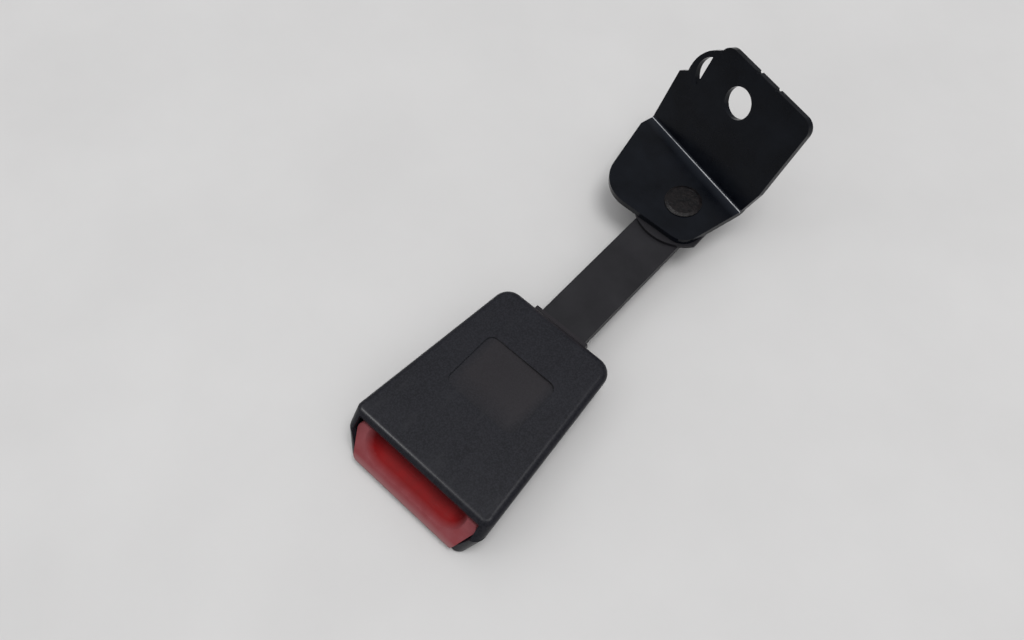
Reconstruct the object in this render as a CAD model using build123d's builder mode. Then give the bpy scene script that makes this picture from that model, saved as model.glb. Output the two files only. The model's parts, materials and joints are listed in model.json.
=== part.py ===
import os
from math import cos, pi, radians, sin, tan

from build123d import *

os.makedirs("parts", exist_ok=True)

# Stack heights above the table, millimetres
floor_t = 1.8
wall = 1.8
parting_z = 10.6
strap_low = 10.0
strap_t = 3.0
strap_top = strap_low + strap_t
frame_t = 2.0
frame_top = strap_top + frame_t
cover_gap = 0.2
ceiling_z = frame_top + cover_gap
top_z = ceiling_z + wall
running = 0.05
sink = 0.2

# Covers in plan at the parting line, s runs from the rear edge to the mouth
rear_gap = 68.0
part_front = 72.0
part_half_rear = 23.0
part_half_front = 29.7
corner_rear = 6.0
corner_front = 3.0
upper_side_lean = -9.0
upper_front_lean = 43.0
lower_side_lean = -23.0
lower_front_lean = 24.0
lower_rear_lean = -20.7
edge_round = 2.4
belly_round = 1.2
parting_groove = 0.3
lip_front = 67.4
lip_gap = 0.2
lip_low = strap_top + lip_gap
collar_half = 11.2
collar_out = 1.4
collar_low = 8.3
recess_rear = 18.0
recess_length = 22.5
recess_half = 14.6
recess_deep = 0.8
recess_tilt = 1.4
recess_corner = 3.0
peg_r = 1.4
boss_r = 2.4
boss_low = 5.0
peg_deep = 3.0
rear_peg_s = 9.0
rear_peg_x = 16.4
front_peg_s = 51.0
front_peg_x = 22.6

# Steel strap and anchor bracket
strap_half = 9.4
strap_clear = 0.3
sill_gap = 0.2
eye_r = 12.5
swivel = 15.0
plate_t = 2.5
flange_rise = 66.5
bend_r = 1.0
rivet_u = 37.5
rivet_w = 14.5
bend_length = 52.2
flange_side_w = 5.6
flange_left_u = 14.6
flange_left_w = 35.7
flange_left_r = 14.0
flange_tip_w = 25.6
flange_tip_r = 7.0
anchor_u = 27.3
anchor_v = 29.0
anchor_r = 5.75
plate_top = 42.4
plate_right = 55.4
plate_corner = 4.5
neck_u = 54.2
neck_v = 10.0
shoulder_v = 21.8
ear_low_u = 3.2
ear_low_v = 24.2
ear_high_u = 10.2
ear_high_v = 38.1
ear_bulge = 2.4
crown_u = 11.2
crown_low_v = 37.7
crown_r = 4.6
slot_u = 9.3
slot_low = 22.6
slot_high = 34.6
slot_bulge = 3.6
nick_r = 0.7
nick_u = 27.4
nick_pitch = 9.5

# Swivel rivet and its washers
shank_r = 5.0
head_r = 6.75
head_t = 0.9
head_rim = 0.4
head_slope = 1.1
tail_r = 7.8
tail_t = 4.0
tail_chamfer = 2.0
backing_r = 10.0
backing_t = 2.5
cone_r = 11.0
cone_t = 1.2
lower_disc_r = 12.5
upper_disc_r = 17.4
upper_disc_half = 13.8
bush_r = 6.6
lower_disc_top = strap_low - running
lower_disc_low = 8.5
flange_low = 14.4
flange_top = flange_low + plate_t
shank_hole = shank_r + running

# Release button and its springs
button_half_low = 21.5
button_half_top = 25.9
bay_clear = 0.4
seat_gap = 0.35
button_low = floor_t + seat_gap
button_top = 8.7
button_rear = 60.0
horn_top = 12.3
face_top = 68.0
face_low = 76.8
tip_z = 3.4
tip_round = 0.55
button_corner = 1.2
tip_half = 22.2
tip_corner = 2.4
flank_s = 70.0
slot_half = 16.5
scoop_rear = 65.5
scoop_half = 13.5
scoop_sag = 1.2
rim = 3.2
button_travel = 5.0
pocket_front = 62.2
pocket_half = 16.0
pocket_low = 3.75
pocket_high = 7.35
post_s = 48.2
post_t = 1.4
post_half = 2.6
rib_half = 0.8
rib_gap = 4.0
rib_inset = 1.0
spring_x = 10.0
spring_z = 5.55
spring_r = 1.35
wire = 0.5
coil_sides = 10
button_turns = 5
latch_turns = 2
ejector_turns = 7

# Latch, its pin and the ejector
pivot_s = 26.0
pivot_z = 6.6
pin_r = 1.5
barrel_r = 2.4
latch_half = 13.9
latch_t = 1.8
latch_front = 47.0
latch_swing = 12.0
tooth_rear = 43.6
tooth_top = 13.8
tooth_half = 5.0
tooth_land = 1.0
ear_s = 40.0
ear_z = 7.5
ear_r = 1.3
ear_reach = 19.6
latch_spring_s = 36.0
latch_spring_r = 2.6
spigot_t = 1.0
ejector_half = 5.6
ejector_low = 9.3
ejector_top = 12.8
ejector_spring_r = 1.2
ejector_spring_z = 10.7
ejector_wall = 1.6
ejector_pocket_half = 2.2
ejector_pocket_top = 12.3
lug_front = 39.5
lug_top = 14.6
ejector_front = 43.2
ejector_length = 10.0
ejector_travel = 10.0
lug_half = 2.0
lug_length = 2.5
ejector_corner = 1.0

# Frame channel
channel_half = 14.5
channel_wall = 2.2
channel_out = channel_half + channel_wall
channel_rear = 22.0
channel_front = 54.0
channel_low = 4.0
lip_plate_front = 62.6
lip_plate_half = 13.6
tail_plate_rear = 3.0
tail_plate_half = 12.4
rivet_first = 7.6
rivet_pitch = 7.8
strap_rivet_r = 2.6
strap_head_r = 3.8
strap_head_t = 1.7
rivet_margin = 0.3
strap_end = rivet_first + rivet_pitch + strap_head_r + rivet_margin
arm_in = 17.2
arm_out = 19.8
arm_rear = 36.4
arm_clear = 0.25
ramp_end = 47.5
arm_root = 62.0
window_clear = 0.8

# The bolt hole in the raised flange is the origin
bracket_turn = Plane((0, 0, flange_top)).rotated((0, 0, -swivel))
corner_at = bracket_turn.from_local_coords((-rivet_u, rivet_w, 0))
along = bracket_turn.x_dir
rise = bracket_turn.y_dir * cos(radians(flange_rise)) + Vector(0, 0, sin(radians(flange_rise)))
face_out = along.cross(rise)
hole_at = corner_at + along * anchor_u + rise * anchor_v - face_out * (plate_t / 2)
table = Plane(origin=hole_at * -1)


def level(z):
    return Plane(origin=table.from_local_coords((0, 0, z)))


def plan(z):
    origin = table.from_local_coords((0, -rear_gap, z))
    return Plane(origin=origin, x_dir=(0, -1, 0), z_dir=(0, 0, 1))


def side(x):
    origin = table.from_local_coords((x, -rear_gap, 0))
    return Plane(origin=origin, x_dir=(0, -1, 0), z_dir=(-1, 0, 0))


def section(s):
    origin = table.from_local_coords((0, -rear_gap - s, 0))
    return Plane(origin=origin, x_dir=(1, 0, 0), z_dir=(0, -1, 0))


def slanted(form):
    return form.edges().filter_by(lambda edge: abs((edge % 0.5).Z) > abs((edge % 0.5).X)).sort_by(Axis.Y)


def cover_form(height, inset, side_lean, front_lean, rear_lean):
    base = plan(parting_z)
    with BuildPart() as form:
        with BuildSketch(base):
            Polygon(
                (0, -part_half_rear),
                (part_front, -part_half_front),
                (part_front, part_half_front),
                (0, part_half_rear),
                align=None,
            )
            if inset > 0:
                offset(amount=-inset, kind=Kind.INTERSECTION)
        extrude(amount=height)
        draft(form.faces().sort_by(Axis.X)[0], base, side_lean)
        draft(form.faces().sort_by(Axis.X)[-1], base, side_lean)
        draft(form.faces().sort_by(Axis.Y)[0], base, front_lean)
        draft(form.faces().sort_by(Axis.Y)[-1], base, rear_lean)
        fillet(slanted(form)[:2], corner_front - inset)
        fillet(slanted(form)[-2:], corner_rear - inset)
        if inset == 0:
            joint_face = form.faces().sort_by(lambda face: abs(face.center().Z - base.origin.Z))[0]
            chamfer(joint_face.edges(), parting_groove)
    return form.part


def upper_form(height, inset=0.0):
    return cover_form(height, inset, upper_side_lean, upper_front_lean, 0.0)


def lower_form(height, inset=0.0):
    return cover_form(height, inset, lower_side_lean, lower_front_lean, lower_rear_lean)


def block(s_low, s_high, x_low, x_high, z_low, z_high, mode=Mode.ADD):
    with BuildSketch(plan(z_low)) as pad:
        with Locations(((s_low + s_high) / 2, (x_low + x_high) / 2)):
            Rectangle(s_high - s_low, x_high - x_low)
    extrude(pad.sketch, amount=z_high - z_low, mode=mode)


def button_edge(z):
    share = (z - button_low) / (parting_z - button_low)
    return button_half_low + (button_half_top - button_half_low) * share


def disc(z_low, z_high, outer, inner):
    with BuildSketch(level(z_low)) as ring:
        Circle(outer)
        Circle(inner, mode=Mode.SUBTRACT)
    extrude(ring.sketch, amount=z_high - z_low)


def coil(start, direction, length, radius, turns):
    axis = Plane(origin=start, z_dir=direction)
    steps = turns * coil_sides
    points = [
        axis.from_local_coords((
            radius * cos(2 * pi * step / coil_sides),
            radius * sin(2 * pi * step / coil_sides),
            wire / 2 + (length - wire) * step / steps,
        ))
        for step in range(steps + 1)
    ]
    with BuildLine() as route:
        Polyline(*points)
    with BuildSketch(Plane(origin=route.line @ 0, x_dir=direction, z_dir=route.line % 0)) as bar:
        Rectangle(wire, wire)
    sweep(bar.sketch, path=route.line, transition=Transition.RIGHT)


def save(piece, name):
    piece.label = name
    export_step(piece, "parts/" + name + ".step")


rear_pegs = [(rear_peg_s, rear_peg_x), (rear_peg_s, -rear_peg_x)]
front_pegs = [(front_peg_s, front_peg_x), (front_peg_s, -front_peg_x)]
pegs = rear_pegs + front_pegs

# Upper cover: shallow shell with the lip over the tongue slot and a cheek at each end of it
mouth_half = button_half_top + bay_clear
upper_outside = upper_form(top_z - parting_z)
upper_inside = upper_form(ceiling_z - parting_z, wall)
with BuildPart() as upper_cover:
    add(upper_outside)
    fillet(upper_cover.faces().sort_by(Axis.Z)[-1].edges(), edge_round)
    block(-collar_out, wall, -collar_half, collar_half, parting_z, frame_top)
    add(upper_inside, mode=Mode.SUBTRACT)
    block(-2 * collar_out, 2 * wall, -strap_half - strap_clear, strap_half + strap_clear,
          parting_z, lip_low, Mode.SUBTRACT)
    block(button_rear - button_travel - bay_clear, part_front, -mouth_half, mouth_half,
          parting_z, lip_low, Mode.SUBTRACT)
    block(lip_front, part_front, -mouth_half, mouth_half, parting_z, top_z, Mode.SUBTRACT)
    with BuildSketch(plan(top_z - recess_deep).rotated((0, recess_tilt, 0))):
        with Locations((recess_rear + recess_length / 2, 0)):
            RectangleRounded(recess_length, 2 * recess_half, recess_corner)
    extrude(amount=2 * recess_deep, mode=Mode.SUBTRACT)
    with BuildSketch(plan(parting_z - peg_deep)):
        with Locations(*pegs):
            Circle(peg_r)
    extrude(amount=ceiling_z - parting_z + peg_deep + sink)
save(upper_cover.part, "upper_cover")

# Lower cover: deep tapered shell with the button bay and the inner seats
lower_outside = lower_form(-parting_z)
lower_inside = lower_form(floor_t - parting_z, wall)
with BuildPart() as lower_cover:
    add(lower_outside)
    fillet(lower_cover.faces().sort_by(Axis.Z)[0].edges(), belly_round)
    block(-collar_out, wall, -collar_half, collar_half, collar_low, parting_z)
    add(lower_inside, mode=Mode.SUBTRACT)
    block(-2 * collar_out, 3 * wall, -strap_half - strap_clear, strap_half + strap_clear,
          strap_low - sill_gap, parting_z, Mode.SUBTRACT)
    bay_low = button_edge(floor_t) + bay_clear
    with BuildSketch(section(button_rear - button_travel - bay_clear)):
        Polygon(
            (-bay_low, floor_t),
            (bay_low, floor_t),
            (mouth_half, parting_z),
            (-mouth_half, parting_z),
            align=None,
        )
    extrude(amount=face_low - button_rear + 2 * button_travel, mode=Mode.SUBTRACT)
    for mirror in (1, -1):
        middle = mirror * spring_x
        block(post_s, post_s + post_t, middle - post_half, middle + post_half,
              floor_t - sink, spring_z + spring_r + wire)
        middle = mirror * (channel_half + channel_out) / 2
        for near, far in ((channel_rear, ear_s - rib_gap), (ear_s + rib_gap, channel_front)):
            block(near + rib_inset, far - rib_inset, middle - rib_half, middle + rib_half,
                  floor_t - sink, channel_low)
    with BuildSketch(plan(floor_t - sink)):
        with Locations((latch_spring_s, 0)):
            Circle(latch_spring_r - wire - sink)
    extrude(amount=spigot_t)
    for spots, low in ((rear_pegs, floor_t - sink), (front_pegs, boss_low)):
        with BuildSketch(plan(low)):
            with Locations(*spots):
                Circle(boss_r)
        extrude(amount=parting_z - low)
    with BuildSketch(plan(parting_z - peg_deep - sink)):
        with Locations(*pegs):
            Circle(peg_r + running)
    extrude(amount=peg_deep + sink, mode=Mode.SUBTRACT)
save(lower_cover.part, "lower_cover")

# Steel frame: a channel with its base under the upper cover
with BuildPart() as frame:
    with BuildSketch(section(channel_rear)) as channel:
        with Locations((0, (channel_low + frame_top) / 2)):
            Rectangle(2 * channel_out, frame_top - channel_low)
        fillet(channel.vertices().sort_by(Axis.Y)[-2:], frame_t)
        with Locations((0, (channel_low + strap_top) / 2)):
            Rectangle(2 * channel_half, strap_top - channel_low, mode=Mode.SUBTRACT)
    extrude(amount=channel_front - channel_rear)
    block(tail_plate_rear, channel_rear + sink, -tail_plate_half, tail_plate_half, strap_top, frame_top)
    block(channel_front - sink, lip_plate_front, -lip_plate_half, lip_plate_half, strap_top, frame_top)
    block(tooth_rear - window_clear, latch_front + window_clear, -tooth_half - window_clear,
          tooth_half + window_clear, strap_top, frame_top, Mode.SUBTRACT)
    block(lug_front - lug_length - ejector_travel - window_clear, lug_front + window_clear,
          -lug_half - running, lug_half + running, strap_top, frame_top, Mode.SUBTRACT)
    block(ear_s - ear_r - window_clear, ear_s + ear_r + window_clear, -channel_out, channel_out,
          channel_low, ear_z + ear_r + window_clear, Mode.SUBTRACT)
    with BuildSketch(side(0)):
        with Locations((pivot_s, pivot_z)):
            Circle(pin_r + running)
    extrude(amount=channel_out, both=True, mode=Mode.SUBTRACT)
    with BuildSketch(plan(strap_top)):
        with Locations((rivet_first, 0), (rivet_first + rivet_pitch, 0)):
            Circle(strap_rivet_r)
    extrude(amount=frame_t, mode=Mode.SUBTRACT)
save(frame.part, "frame")

# Release button: scooped bar between two horns, with ramp arms that press the latch ears down
face_fall = Vector(face_low - face_top, tip_z - horn_top).normalized()
scoop_from = Vector(scoop_rear, button_top)
scoop_to = Vector(face_low, tip_z) - face_fall * rim
scoop_chord = scoop_to - scoop_from
scoop_r = ((scoop_chord.length / 2) ** 2 + scoop_sag ** 2) / (2 * scoop_sag)
scoop_up = Vector(-scoop_chord.Y, scoop_chord.X).normalized()
scoop_at = (scoop_from + scoop_to) * 0.5 + scoop_up * (scoop_r - scoop_sag)
ear_drop = ((ear_s - pivot_s) * sin(radians(latch_swing))
            + (ear_z - pivot_z) * (1 - cos(radians(latch_swing))))
ramp = Vector(button_travel, -ear_drop).normalized()
ramp_slope = ear_drop / button_travel
touch = Vector(ear_s, ear_z) + Vector(-ramp.Y, ramp.X) * (ear_r + arm_clear)
ramp_high = touch.Y + ramp_slope * (touch.X - arm_rear)
ramp_low = touch.Y + ramp_slope * (touch.X - ramp_end)

with BuildPart() as release_button:
    with BuildSketch(side(0)) as bar:
        Polygon(
            (button_rear, button_low),
            (face_low, button_low),
            (face_low, tip_z),
            (face_top, horn_top),
            (button_rear, horn_top),
            align=None,
        )
        fillet(bar.vertices().sort_by(Axis.X)[-3:], tip_round)
    extrude(amount=button_half_top, both=True)
    with BuildSketch(section(button_rear)) as ends:
        Polygon(
            (-button_half_low, button_low),
            (button_half_low, button_low),
            (button_half_top, parting_z),
            (button_half_top, horn_top),
            (-button_half_top, horn_top),
            (-button_half_top, parting_z),
            align=None,
        )
        corners = ends.vertices().group_by(Axis.Y)
        fillet(corners[0] + corners[-1], button_corner)
    extrude(amount=2 * (face_low - button_rear), mode=Mode.INTERSECT)
    with BuildSketch(plan(button_low)) as tip:
        Polygon(
            (button_rear, -mouth_half),
            (flank_s, -mouth_half),
            (face_low, -tip_half),
            (face_low, tip_half),
            (flank_s, mouth_half),
            (button_rear, mouth_half),
            align=None,
        )
        fillet(tip.vertices().sort_by(Axis.X)[-2:], tip_corner)
    extrude(amount=horn_top - button_low, mode=Mode.INTERSECT)
    with BuildSketch(side(0)):
        with Locations((scoop_at.X, scoop_at.Y)):
            Circle(scoop_r)
    extrude(amount=scoop_half, both=True, mode=Mode.SUBTRACT)
    with Locations(*[side(x).from_local_coords(scoop_at) for x in (-scoop_half, scoop_half)]):
        Sphere(scoop_r, mode=Mode.SUBTRACT)
    block(button_rear, scoop_rear + rim, -slot_half, slot_half, button_top, horn_top, Mode.SUBTRACT)
    block(button_rear, pocket_front, -pocket_half, pocket_half, pocket_low, pocket_high, Mode.SUBTRACT)
    for mirror in (1, -1):
        with BuildSketch(side(mirror * (arm_in + arm_out) / 2)):
            Polygon(
                (arm_rear, ramp_high),
                (ramp_end, ramp_low),
                (arm_root, ramp_low),
                (arm_root, horn_top),
                (arm_rear, horn_top),
                align=None,
            )
        extrude(amount=(arm_out - arm_in) / 2, both=True)
save(release_button.part, "release_button")

# Latch: swinging plate with a barrel, a hooked tooth and two ears
with BuildPart() as latch:
    block(pivot_s, latch_front, -latch_half, latch_half, pivot_z, pivot_z + latch_t)
    with BuildSketch(side(0)):
        with Locations((pivot_s, pivot_z)):
            Circle(barrel_r)
    extrude(amount=latch_half, both=True)
    with BuildSketch(side(0)):
        Polygon(
            (tooth_rear, pivot_z),
            (latch_front, pivot_z),
            (latch_front, pivot_z + latch_t + tooth_land),
            (tooth_rear + tooth_land, tooth_top),
            (tooth_rear, tooth_top),
            align=None,
        )
    extrude(amount=tooth_half, both=True)
    with BuildSketch(side(0)):
        with Locations((ear_s, ear_z)):
            Circle(ear_r)
    extrude(amount=ear_reach, both=True)
    with BuildSketch(side(0)):
        with Locations((pivot_s, pivot_z)):
            Circle(pin_r + running)
    extrude(amount=latch_half, both=True, mode=Mode.SUBTRACT)
save(latch.part, "latch")

with BuildPart() as latch_pin:
    with BuildSketch(side(0)):
        with Locations((pivot_s, pivot_z)):
            Circle(pin_r)
    extrude(amount=channel_out + sink, both=True)
save(latch_pin.part, "latch_pin")

# Ejector: block that runs in the channel on a lug in the frame's guide slot
ejector_rear = ejector_front - ejector_length
with BuildPart() as ejector:
    block(ejector_rear, ejector_front, -ejector_half, ejector_half, ejector_low, ejector_top)
    fillet(ejector.edges().filter_by(Axis.Z), ejector_corner)
    block(ejector_rear, ejector_front - ejector_wall, -ejector_pocket_half, ejector_pocket_half,
          ejector_low, ejector_pocket_top, Mode.SUBTRACT)
    block(lug_front - lug_length, lug_front, -lug_half, lug_half, ejector_pocket_top, lug_top)
save(ejector.part, "ejector")

# Springs
forward = Vector(0, -1, 0)
upward = Vector(0, 0, 1)
post_front = post_s + post_t
with BuildPart() as button_spring_left:
    coil(table.from_local_coords((-spring_x, -rear_gap - post_front, spring_z)), forward,
         pocket_front - post_front - running, spring_r, button_turns)
save(button_spring_left.part, "button_spring_left")

with BuildPart() as button_spring_right:
    coil(table.from_local_coords((spring_x, -rear_gap - post_front, spring_z)), forward,
         pocket_front - post_front - running, spring_r, button_turns)
save(button_spring_right.part, "button_spring_right")

with BuildPart() as latch_spring:
    coil(table.from_local_coords((0, -rear_gap - latch_spring_s, floor_t)), upward,
         pivot_z - floor_t - running, latch_spring_r, latch_turns)
save(latch_spring.part, "latch_spring")

with BuildPart() as ejector_spring:
    coil(table.from_local_coords((0, -rear_gap - strap_end, ejector_spring_z)), forward,
         ejector_front - ejector_wall - strap_end - running, ejector_spring_r, ejector_turns)
save(ejector_spring.part, "ejector_spring")

# Strap with its swivel eye, bush and rivets
with BuildPart() as strap:
    with BuildSketch(level(strap_low)) as blade:
        Circle(eye_r)
        with Locations((0, -(rear_gap + strap_end) / 2)):
            Rectangle(2 * strap_half, rear_gap + strap_end)
        fillet(blade.vertices().sort_by(Axis.Y)[2:4], eye_r)
        Circle(bush_r, mode=Mode.SUBTRACT)
        for step in (0, 1):
            with Locations((0, -rear_gap - rivet_first - step * rivet_pitch)):
                Circle(strap_rivet_r, mode=Mode.SUBTRACT)
    extrude(amount=strap_t)
save(strap.part, "strap")

with BuildPart() as pivot_bush:
    disc(strap_low, strap_top, bush_r, shank_hole)
save(pivot_bush.part, "pivot_bush")

with BuildPart() as strap_rivets:
    with BuildSketch(plan(strap_low)):
        with Locations((rivet_first, 0), (rivet_first + rivet_pitch, 0)):
            Circle(strap_rivet_r)
    extrude(amount=frame_top - strap_low)
    with BuildSketch(plan(strap_low)):
        with Locations((rivet_first, 0), (rivet_first + rivet_pitch, 0)):
            Circle(strap_head_r)
    extrude(amount=-strap_head_t)
    chamfer(strap_rivets.faces().group_by(Axis.Z)[0].edges(), strap_head_t / 2)
save(strap_rivets.part, "strap_rivets")

# Anchor bracket: swivel flange, bend and raised bolt flange
corner = table.from_local_coords(corner_at)
setback = bend_r * tan(radians(flange_rise) / 2)
sine = sin(radians(flange_rise))
cosine = cos(radians(flange_rise))
fold_at = Vector(-setback, bend_r)
away = Vector(sine, -cosine)
half_away = Vector(sin(radians(flange_rise / 2)), -cos(radians(flange_rise / 2)))
bend_out = bend_r + plate_t

with BuildPart() as bracket:
    with BuildSketch(Plane(origin=corner, x_dir=bracket_turn.y_dir, z_dir=along)):
        with BuildLine():
            inner = ThreePointArc(fold_at + Vector(0, -bend_r), fold_at + half_away * bend_r,
                                  fold_at + away * bend_r)
            outer = ThreePointArc(fold_at + away * bend_out, fold_at + half_away * bend_out,
                                  fold_at + Vector(0, -bend_out))
            Line(inner @ 1, outer @ 0)
            Line(outer @ 1, inner @ 0)
        make_face()
    extrude(amount=bend_length)
    with BuildSketch(Plane(origin=corner, x_dir=along, z_dir=(0, 0, 1))) as swivel_flange:
        Polygon(
            (0, -setback),
            (0, -flange_side_w),
            (flange_left_u, -flange_left_w),
            (bend_length, -flange_tip_w),
            (bend_length, -setback),
            align=None,
        )
        fillet(swivel_flange.vertices().sort_by(Axis.Y)[0], flange_left_r)
        fillet(swivel_flange.vertices().sort_by(Axis((0, 0, 0), (1, -1, 0)))[-1], flange_tip_r)
        with Locations((rivet_u, -rivet_w)):
            Circle(shank_hole, mode=Mode.SUBTRACT)
    extrude(amount=-plate_t)
    with BuildSketch(Plane(origin=corner, x_dir=along, z_dir=face_out)) as bolt_flange:
        with BuildLine():
            shoulder = Polyline((bend_length, setback), (0, setback), (0, shoulder_v), (ear_low_u, ear_low_v))
            ear = SagittaArc(shoulder @ 1, (ear_high_u, ear_high_v), ear_bulge)
            Polyline(ear @ 1, (crown_u, crown_low_v), (crown_u, plate_top), (plate_right, plate_top),
                     (neck_u, neck_v), (bend_length, setback))
        make_face()
        fillet(bolt_flange.vertices().sort_by(Axis((0, 0, 0), (1, 1, 0)))[-1], plate_corner)
        fillet(bolt_flange.vertices().group_by(Axis.Y)[-1].sort_by(Axis.X)[0], crown_r)
        with Locations((anchor_u, anchor_v)):
            Circle(anchor_r, mode=Mode.SUBTRACT)
        with BuildLine():
            straight = Line((slot_u, slot_low), (slot_u, slot_high))
            SagittaArc(straight @ 0, straight @ 1, slot_bulge)
        make_face(mode=Mode.SUBTRACT)
        with Locations((nick_u, plate_top), (nick_u + nick_pitch, plate_top)):
            Circle(nick_r, mode=Mode.SUBTRACT)
    extrude(amount=-plate_t)
save(bracket.part, "bracket")

# Swivel rivet and washers
axle = Axis(table.origin, (0, 0, 1))
head_top = flange_top + head_t
with BuildPart() as swivel_rivet:
    with BuildSketch(section(-rear_gap)):
        Polygon(
            (0, 0),
            (tail_r - tail_chamfer, 0),
            (tail_r, tail_chamfer),
            (tail_r, tail_t),
            (shank_r, tail_t),
            (shank_r, flange_top),
            (head_r, flange_top),
            (head_r, flange_top + head_rim),
            (head_r - head_slope, head_top),
            (0, head_top),
            align=None,
        )
    revolve(axis=axle)
save(swivel_rivet.part, "swivel_rivet")

with BuildPart() as upper_disc:
    with BuildSketch(level(strap_top + running)):
        Circle(upper_disc_r)
        Rectangle(2 * upper_disc_half, 2 * upper_disc_r, mode=Mode.INTERSECT)
        Circle(shank_hole, mode=Mode.SUBTRACT)
    extrude(amount=flange_low - strap_top - running)
save(upper_disc.part, "upper_disc")

with BuildPart() as lower_disc:
    disc(lower_disc_low, lower_disc_top, lower_disc_r, shank_hole)
save(lower_disc.part, "lower_disc")

backing_top = tail_t + backing_t
with BuildPart() as cone_washer:
    with BuildSketch(section(-rear_gap)):
        Polygon((shank_hole, lower_disc_low - cone_t), (cone_r, backing_top), (cone_r, backing_top + cone_t),
                (shank_hole, lower_disc_low), align=None)
    revolve(axis=axle)
save(cone_washer.part, "cone_washer")

with BuildPart() as backing_washer:
    disc(tail_t, backing_top, backing_r, shank_hole)
save(backing_washer.part, "backing_washer")
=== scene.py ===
import json
import math

import bpy
from mathutils import Matrix, Vector


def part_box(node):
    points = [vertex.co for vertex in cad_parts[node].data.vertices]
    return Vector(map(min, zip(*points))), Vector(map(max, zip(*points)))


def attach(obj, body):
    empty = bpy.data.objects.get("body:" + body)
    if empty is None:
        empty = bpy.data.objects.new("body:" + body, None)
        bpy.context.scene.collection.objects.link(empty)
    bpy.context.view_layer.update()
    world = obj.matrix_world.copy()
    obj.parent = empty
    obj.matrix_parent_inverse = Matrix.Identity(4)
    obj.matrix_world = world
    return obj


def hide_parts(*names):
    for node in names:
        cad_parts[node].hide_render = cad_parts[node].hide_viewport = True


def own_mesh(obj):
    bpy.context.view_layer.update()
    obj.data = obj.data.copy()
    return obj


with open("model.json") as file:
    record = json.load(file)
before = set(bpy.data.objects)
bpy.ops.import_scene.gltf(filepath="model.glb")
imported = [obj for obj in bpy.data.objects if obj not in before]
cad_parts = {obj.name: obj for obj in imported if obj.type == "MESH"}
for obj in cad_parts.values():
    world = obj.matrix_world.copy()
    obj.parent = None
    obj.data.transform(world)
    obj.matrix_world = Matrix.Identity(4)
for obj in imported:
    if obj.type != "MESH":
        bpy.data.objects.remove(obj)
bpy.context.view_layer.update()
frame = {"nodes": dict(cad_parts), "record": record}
nodes = frame["nodes"]
scene = bpy.context.scene
scene.view_settings.view_transform = "Standard"
table_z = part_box("lower_cover")[0].z

# Label bed on the upper cover, metres: its tint fades in with depth, from the sides and from the mouth
bed_skin = 0.00005
bed_depth = 0.00030
bed_half = 0.0150
bed_core = 0.0110
bed_front = 0.0290
bed_full = 0.0390
bed_tint = 0.6

# Button face: rise of its tip, run back to its top edge, and how far its worn and painted-sheen border,
# painted shade in the scoop and painted highlight on the lower edge reach
tip_rise = 0.00125
face_run = 0.0088
border_deep = 0.0022
border_flat = 0.0002
painted_shade_low = 0.0070
painted_shade_high = 0.0105
edge_highlight_high = 0.0024
edge_highlight_low = 0.0002

# Bracket: turn on the stalk, rivet to fold, rivet head above the plate, and the painted reflection and
# painted highlight line along the fold
swivel = math.radians(15)
fold_gap = 0.0145
head_rise = 0.0009
plate_far = 0.0009
plate_near = 0.0004
fold_sheen_far = 0.0040
fold_sheen_near = 0.0006
highlight_gap = 0.00025
highlight_outer = 0.00017
highlight_inner = 0.00007


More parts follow.
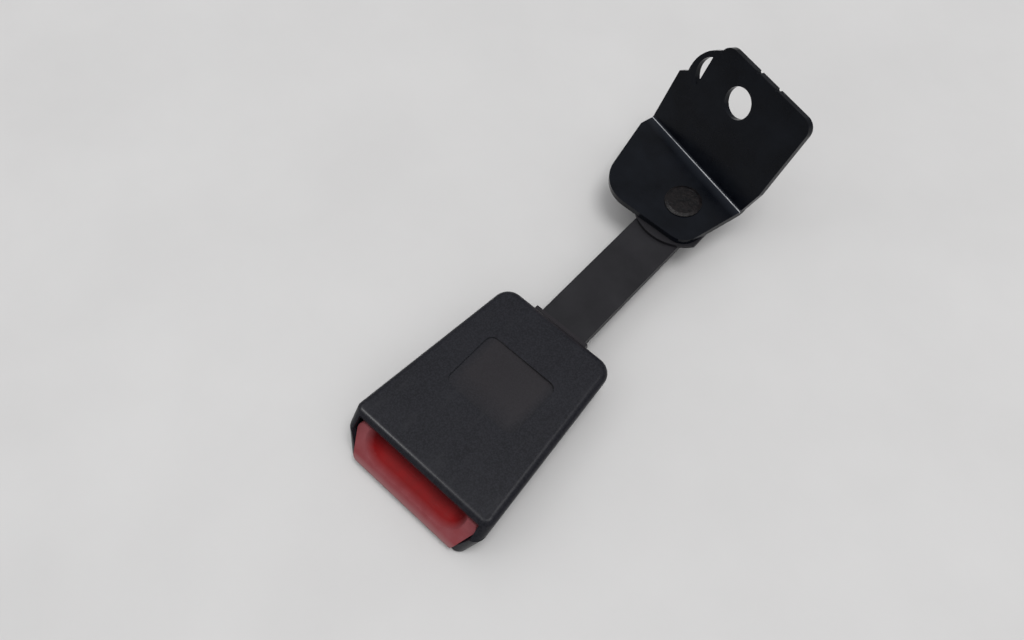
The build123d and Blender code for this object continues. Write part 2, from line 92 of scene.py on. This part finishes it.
class Nodes:
    """Short calls for a material's node tree."""

    def __init__(self, name):
        self.material = bpy.data.materials.new(name)
        self.material.use_nodes = True
        self.tree = self.material.node_tree
        self.shader = self.tree.nodes["Principled BSDF"]
        self.place = self.add("ShaderNodeTexCoord").outputs["Object"]

    def add(self, kind, **settings):
        node = self.tree.nodes.new(kind)
        for key, value in settings.items():
            setattr(node, key, value)
        return node

    def link(self, source, target):
        self.tree.links.new(source, target)

    def stretched(self, scale):
        mapping = self.add("ShaderNodeMapping")
        mapping.inputs["Scale"].default_value = scale
        self.link(self.place, mapping.inputs["Vector"])
        return mapping.outputs["Vector"]

    def noise(self, scale, detail=3.0, rough=0.55, place=None):
        node = self.add("ShaderNodeTexNoise")
        node.inputs["Scale"].default_value = scale
        node.inputs["Detail"].default_value = detail
        node.inputs["Roughness"].default_value = rough
        self.link(place or self.place, node.inputs["Vector"])
        return node.outputs["Fac"]

    def ramp(self, source, *stops):
        node = self.add("ShaderNodeValToRGB")
        points = node.color_ramp.elements
        while len(points) < len(stops):
            points.new(0.5)
        for point, (at, shade) in zip(points, stops):
            point.position = at
            point.color = (*shade, 1) if isinstance(shade, tuple) else (shade, shade, shade, 1)
        self.link(source, node.inputs["Fac"])
        return node.outputs["Color"]

    def span(self, source, low, high, start=0.0, end=1.0):
        node = self.add("ShaderNodeMapRange")
        for key, value in zip(("From Min", "From Max", "To Min", "To Max"), (low, high, start, end)):
            node.inputs[key].default_value = value
        self.link(source, node.inputs["Value"])
        return node.outputs["Result"]

    def math(self, operation, first, second=0.0):
        node = self.add("ShaderNodeMath", operation=operation)
        for socket, value in zip(node.inputs, (first, second)):
            if isinstance(value, (int, float)):
                socket.default_value = value
            else:
                self.link(value, socket)
        return node.outputs["Value"]

    def mix(self, share, first, second):
        node = self.add("ShaderNodeMix", data_type="RGBA")
        self.link(share, node.inputs["Factor"])
        for socket, value in ((node.inputs[6], first), (node.inputs[7], second)):
            if isinstance(value, tuple):
                socket.default_value = (*value, 1)
            else:
                self.link(value, socket)
        return node.outputs[2]

    def axis(self, letter):
        node = self.add("ShaderNodeSeparateXYZ")
        self.link(self.place, node.inputs["Vector"])
        return node.outputs[letter]

    def reach(self, direction, start):
        """Distance along a direction, measured from a point."""
        node = self.add("ShaderNodeVectorMath", operation="DOT_PRODUCT")
        node.inputs[1].default_value = direction
        self.link(self.place, node.inputs[0])
        return self.math("SUBTRACT", node.outputs["Value"], start.dot(direction))

    def set(self, key, value):
        socket = self.shader.inputs[key]
        if isinstance(value, (int, float)):
            socket.default_value = value
        else:
            self.link(value, socket)

    def bump(self, *layers):
        normal = None
        for height, strength, distance in layers:
            node = self.add("ShaderNodeBump")
            node.inputs["Strength"].default_value = strength
            node.inputs["Distance"].default_value = distance
            self.link(height, node.inputs["Height"])
            if normal:
                self.link(normal, node.inputs["Normal"])
            normal = node.outputs["Normal"]
        self.link(normal, self.shader.inputs["Normal"])


def cover_plastic():
    make = Nodes("cover_plastic")
    low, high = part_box("upper_cover")
    grain = make.noise(1900, 2)
    cloud = make.noise(55, 4)
    rubbed = make.ramp(make.noise(260, 6, 0.7, make.stretched((1, 0.25, 1))), (0.56, 0.0), (0.72, 1.0))
    tone = make.ramp(cloud, (0.3, (0.0053, 0.0055, 0.0083)), (0.7, (0.0081, 0.0083, 0.0122)))
    speckled = make.mix(make.span(grain, 0.38, 0.66), tone, (0.0160, 0.0161, 0.0216))
    # The bed where a label would sit is a little browner
    across = make.math("ABSOLUTE", make.math("SUBTRACT", make.axis("X"), (low.x + high.x) / 2))
    bed = make.span(make.axis("Z"), high.z - bed_skin, high.z - bed_depth)
    bed = make.math("MULTIPLY", bed, make.span(across, bed_half, bed_core))
    behind = make.span(make.axis("Y"), low.y + bed_front, low.y + bed_full, 0.0, bed_tint)
    bed = make.math("MULTIPLY", bed, behind)
    shade = make.mix(rubbed, speckled, (0.0176, 0.0176, 0.0220))
    make.set("Base Color", make.mix(bed, shade, (0.0250, 0.0212, 0.0238)))
    make.set("Roughness", make.span(cloud, 0.2, 0.8, 0.32, 0.38))
    make.set("Specular IOR Level", 0.165)
    make.bump((grain, 0.35, 0.00005), (make.noise(420, 3), 0.10, 0.0001))
    return make.material


def button_plastic():
    make = Nodes("button_plastic")
    low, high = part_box("release_button")
    cloud = make.noise(180, 5, 0.6)
    scratch = make.ramp(make.noise(900, 5, 0.7, make.stretched((0.12, 1, 1))), (0.58, 0.0), (0.78, 1.0))
    tone = make.ramp(cloud, (0.3, (0.195, 0.0038, 0.0050)), (0.7, (0.260, 0.0062, 0.0074)))
    # The flat border of the face is paler than the scoop inside it, partly rubbed wear and partly a painted
    # sheen
    tip = Vector((0.0, low.y, low.z + tip_rise))
    fall = (tip - Vector((0.0, low.y + face_run, high.z))).normalized()
    depth = make.reach(Vector((0.0, fall.z, -fall.y)), tip)
    drop = make.reach(fall, tip)
    border = make.span(depth, -border_deep, -border_flat)
    worn_and_sheen = make.math("MULTIPLY", border, make.span(cloud, 0.2, 0.7, 0.55, 1.0))
    # Painted shade: the upper scoop under the lip is darkened
    tone = make.mix(make.span(drop, -painted_shade_low, -painted_shade_high, 0.0, 0.75), tone, (0.068, 0.0036, 0.0048))
    pale = make.mix(worn_and_sheen, tone, (0.272, 0.076, 0.085))
    # Painted highlight: the lower edge of the face, which faces up, is made paler
    pale = make.mix(make.span(drop, -edge_highlight_high, -edge_highlight_low, 0.0, 0.8), pale, (0.310, 0.158, 0.162))
    make.set("Base Color", make.mix(make.math("MULTIPLY", scratch, 0.25), pale, (0.320, 0.084, 0.092)))
    make.set("Roughness", make.span(cloud, 0.2, 0.8, 0.48, 0.60))
    make.set("Specular IOR Level", 0.06)
    make.bump((scratch, 0.10, 0.00004), (make.noise(350, 3), 0.08, 0.0001))
    return make.material


def paint(name, dark, pale, rough, shine):
    make = Nodes(name)
    cloud = make.noise(70, 5, 0.6)
    dust_and_sheen = make.ramp(make.noise(1500, 4, 0.75), (0.62, 0.0), (0.76, 1.0))
    tone = make.ramp(cloud, (0.3, dark), (0.7, pale))
    dusty = tuple(2.6 * part for part in pale)
    make.coat = make.mix(make.math("MULTIPLY", dust_and_sheen, 0.5), tone, dusty)
    make.set("Base Color", make.coat)
    make.set("Roughness", make.span(cloud, 0.25, 0.75, rough - 0.05, rough + 0.08))
    make.set("Specular IOR Level", shine)
    make.bump((make.noise(320, 2), 0.10, 0.0001), (dust_and_sheen, 0.1, 0.00004))
    return make


def strap_paint():
    return paint("strap_paint", (0.0072, 0.0067, 0.0090), (0.0146, 0.0138, 0.0170), 0.46, 0.20).material


def bracket_paint():
    make = paint("bracket_paint", (0.0007, 0.0013, 0.0031), (0.0050, 0.0064, 0.0100), 0.17, 0.11)
    # Painted highlight line and painted reflection beside the fold between the two flanges
    low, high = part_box("swivel_rivet")
    plate_top = high.z - head_rise
    across = Vector((math.sin(swivel), math.cos(swivel), 0.0))
    away = make.reach(across, (low + high) / 2 + across * fold_gap)
    off_plate = make.math("ABSOLUTE", make.math("SUBTRACT", make.axis("Z"), plate_top))
    level = make.span(off_plate, plate_far, plate_near)
    # Painted reflection: a pale band on the flat plate just before the fold
    dust_and_sheen = make.math("MULTIPLY", make.span(away, -fold_sheen_far, -fold_sheen_near, 0.0, 0.8), level)
    sheen_coat = make.mix(dust_and_sheen, make.coat, (0.019, 0.022, 0.029))
    # Painted highlight: a thin pale line along the fold
    beside = make.math("ABSOLUTE", make.math("ADD", away, highlight_gap))
    fold_highlight = make.math("MULTIPLY", make.span(beside, highlight_outer, highlight_inner), level)
    patchy_highlight = make.math("MULTIPLY", fold_highlight, make.span(make.noise(260, 4), 0.25, 0.6, 0.30, 1.0))
    make.set("Base Color", make.mix(patchy_highlight, sheen_coat, (0.50, 0.51, 0.53)))
    return make.material


def rivet_paint():
    make = Nodes("rivet_paint")
    cloud = make.noise(70, 5, 0.6)
    mottle = make.noise(650, 5, 0.65)
    tone = make.ramp(mottle, (0.38, (0.0026, 0.0026, 0.0034)), (0.68, (0.0125, 0.0094, 0.0098)))
    make.set("Base Color", tone)
    make.set("Roughness", make.span(cloud, 0.25, 0.75, 0.29, 0.42))
    make.set("Specular IOR Level", 0.15)
    make.bump((mottle, 0.7, 0.0004), (make.noise(2200, 3), 0.3, 0.0001))
    return make.material


def steel(name, tone, rough, along):
    make = Nodes(name)
    brushed = make.noise(700, 4, 0.7, make.stretched(along))
    stain = make.noise(90, 5, 0.65)
    bright = tuple(min(1.0, 1.15 * part) for part in tone)
    dull = tuple(0.62 * part for part in tone)
    make.set("Base Color", make.mix(make.span(stain, 0.3, 0.75), bright, dull))
    make.set("Metallic", 1.0)
    make.set("Roughness", make.span(brushed, 0.2, 0.8, rough - 0.08, rough + 0.12))
    make.bump((brushed, 0.1, 0.00003))
    return make.material


def nylon():
    make = Nodes("nylon")
    cloud = make.noise(120, 4)
    make.set("Base Color", make.ramp(cloud, (0.3, (0.66, 0.63, 0.54)), (0.7, (0.76, 0.74, 0.67))))
    make.set("Roughness", make.span(cloud, 0.2, 0.8, 0.38, 0.5))
    make.bump((make.noise(900, 3), 0.15, 0.00005))
    return make.material


finish = {
    "cover_plastic": cover_plastic(),
    "button_plastic": button_plastic(),
    "bracket_paint": bracket_paint(),
    "strap_paint": strap_paint(),
    "rivet_paint": rivet_paint(),
    "frame_steel": steel("frame_steel", (0.50, 0.50, 0.48), 0.34, (1, 0.06, 1)),
    "spring_steel": steel("spring_steel", (0.38, 0.38, 0.38), 0.30, (1, 1, 1)),
    "nylon": nylon(),
}
for subpart in frame["record"]["subparts"]:
    piece = nodes[subpart["node"]]
    piece.data.materials.clear()
    piece.data.materials.append(finish[subpart["material_slot"]])

# Sharp edges that the button's faces share are softened
button_edge = 0.00025
sharp_from = math.radians(32)
bevel = nodes["release_button"].modifiers.new("edge", "BEVEL")
bevel.limit_method = "ANGLE"
bevel.angle_limit = sharp_from
bevel.width = button_edge
bevel.segments = 2

# Round wire springs, built in place of the spring parts and carried with the stalk
wire = 0.00025
wire_sides = 8
turn_steps = 24


def spring(node, axis, turns):
    low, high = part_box(node)
    start = (low + high) / 2
    start[axis.index(1)] = low[axis.index(1)]
    along = Vector(axis)
    first, second = (Vector(unit) for unit in ((1, 0, 0), (0, 1, 0), (0, 0, 1)) if unit != axis)
    length = (high - low).dot(along)
    radius = min((high - low).dot(first), (high - low).dot(second)) / 2 - wire
    steps = turns * turn_steps
    points, sides = [], []
    for step in range(steps + 1):
        angle = 2 * math.pi * step / turn_steps
        out = first * math.cos(angle) + second * math.sin(angle)
        heart = start + along * (wire + (length - 2 * wire) * step / steps) + out * radius
        for corner in range(wire_sides):
            around = 2 * math.pi * corner / wire_sides
            points.append(heart + (out * math.cos(around) + along * math.sin(around)) * wire)
    for step in range(steps):
        for corner in range(wire_sides):
            here, after = step * wire_sides + corner, step * wire_sides + (corner + 1) % wire_sides
            sides.append((here, after, after + wire_sides, here + wire_sides))
    sides += [tuple(range(wire_sides)), tuple(range(steps * wire_sides, len(points)))]
    mesh = bpy.data.meshes.new(node + "_wire")
    mesh.from_pydata(points, [], sides)
    mesh.shade_smooth()
    mesh.materials.append(finish["spring_steel"])
    piece = bpy.data.objects.new(node + "_wire", mesh)
    scene.collection.objects.link(piece)
    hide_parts(node)
    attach(piece, "stalk")
    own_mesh(piece)


lengthwise = (0, 1, 0)
upright = (0, 0, 1)
spring("button_spring_left", lengthwise, 7)
spring("button_spring_right", lengthwise, 7)
spring("ejector_spring", lengthwise, 12)
spring("latch_spring", upright, 3)

# Camera at the photograph's angle
eye = Vector((0.08468, -0.21132, 0.24192))
aim = Vector((-0.01270, -0.10374, -0.03300))
roll = math.radians(0.222)
camera = bpy.data.objects.new("camera", bpy.data.cameras.new("camera"))
scene.collection.objects.link(camera)
camera.data.lens = 31.669
camera.data.sensor_width = 36.0
camera.data.clip_start = 0.01
camera.data.clip_end = 20.0
turn = (aim - eye).to_track_quat("-Z", "Y").to_matrix().to_4x4()
camera.matrix_world = Matrix.Translation(eye) @ turn @ Matrix.Rotation(roll, 4, "Z")
scene.camera = camera

# Pale floor
floor_half = 30.0
square = ((-1, -1), (1, -1), (1, 1), (-1, 1))
floor_mesh = bpy.data.meshes.new("floor")
floor_mesh.from_pydata([(x * floor_half, y * floor_half, table_z) for x, y in square], [], [(0, 1, 2, 3)])
floor = bpy.data.objects.new("floor", floor_mesh)
scene.collection.objects.link(floor)
ground = Nodes("floor")
ground_cloud = ground.noise(16, 5, 0.6)
ground.set("Base Color", ground.ramp(ground_cloud, (0.3, (0.655, 0.645, 0.64)), (0.7, (0.69, 0.68, 0.675))))
ground.set("Roughness", 0.85)
ground.bump((ground.noise(500, 4), 0.1, 0.0002))
floor_mesh.materials.append(ground.material)

# Soft even light, a wide key overhead and a small lamp in front on the left
world = bpy.data.worlds.new("world")
scene.world = world
world.use_nodes = True
sky = world.node_tree
sky_shade = sky.nodes["Background"]
sky_shade.inputs["Color"].default_value = (0.98, 0.99, 1.0, 1)
height = sky.nodes.new("ShaderNodeSeparateXYZ")
sky.links.new(sky.nodes.new("ShaderNodeTexCoord").outputs["Generated"], height.inputs["Vector"])
brighter = sky.nodes.new("ShaderNodeMapRange")
brighter.inputs["To Min"].default_value = 0.28
brighter.inputs["To Max"].default_value = 0.80
brighter.interpolation_type = "SMOOTHSTEP"
sky.links.new(height.outputs["Z"], brighter.inputs["Value"])
sky.links.new(brighter.outputs["Result"], sky_shade.inputs["Strength"])


def lamp(name, place, aim_at, size, watts):
    data = bpy.data.lights.new(name, "AREA")
    data.shape = "DISK"
    data.size = size
    data.energy = watts
    lamp_object = bpy.data.objects.new(name, data)
    scene.collection.objects.link(lamp_object)
    lamp_object.location = place
    lamp_object.rotation_mode = "QUATERNION"
    lamp_object.rotation_quaternion = (Vector(aim_at) - Vector(place)).to_track_quat("-Z", "Y")
    return lamp_object


middle = Vector((0.0, -0.08, table_z))
lamp("key", middle + Vector((0.62, 0.20, 3.00)), middle, 1.4, 33)
glint = lamp("glint", middle + Vector((-0.42, -0.40, 0.81)), middle, 0.20, 6.5)
glint.visible_diffuse = False
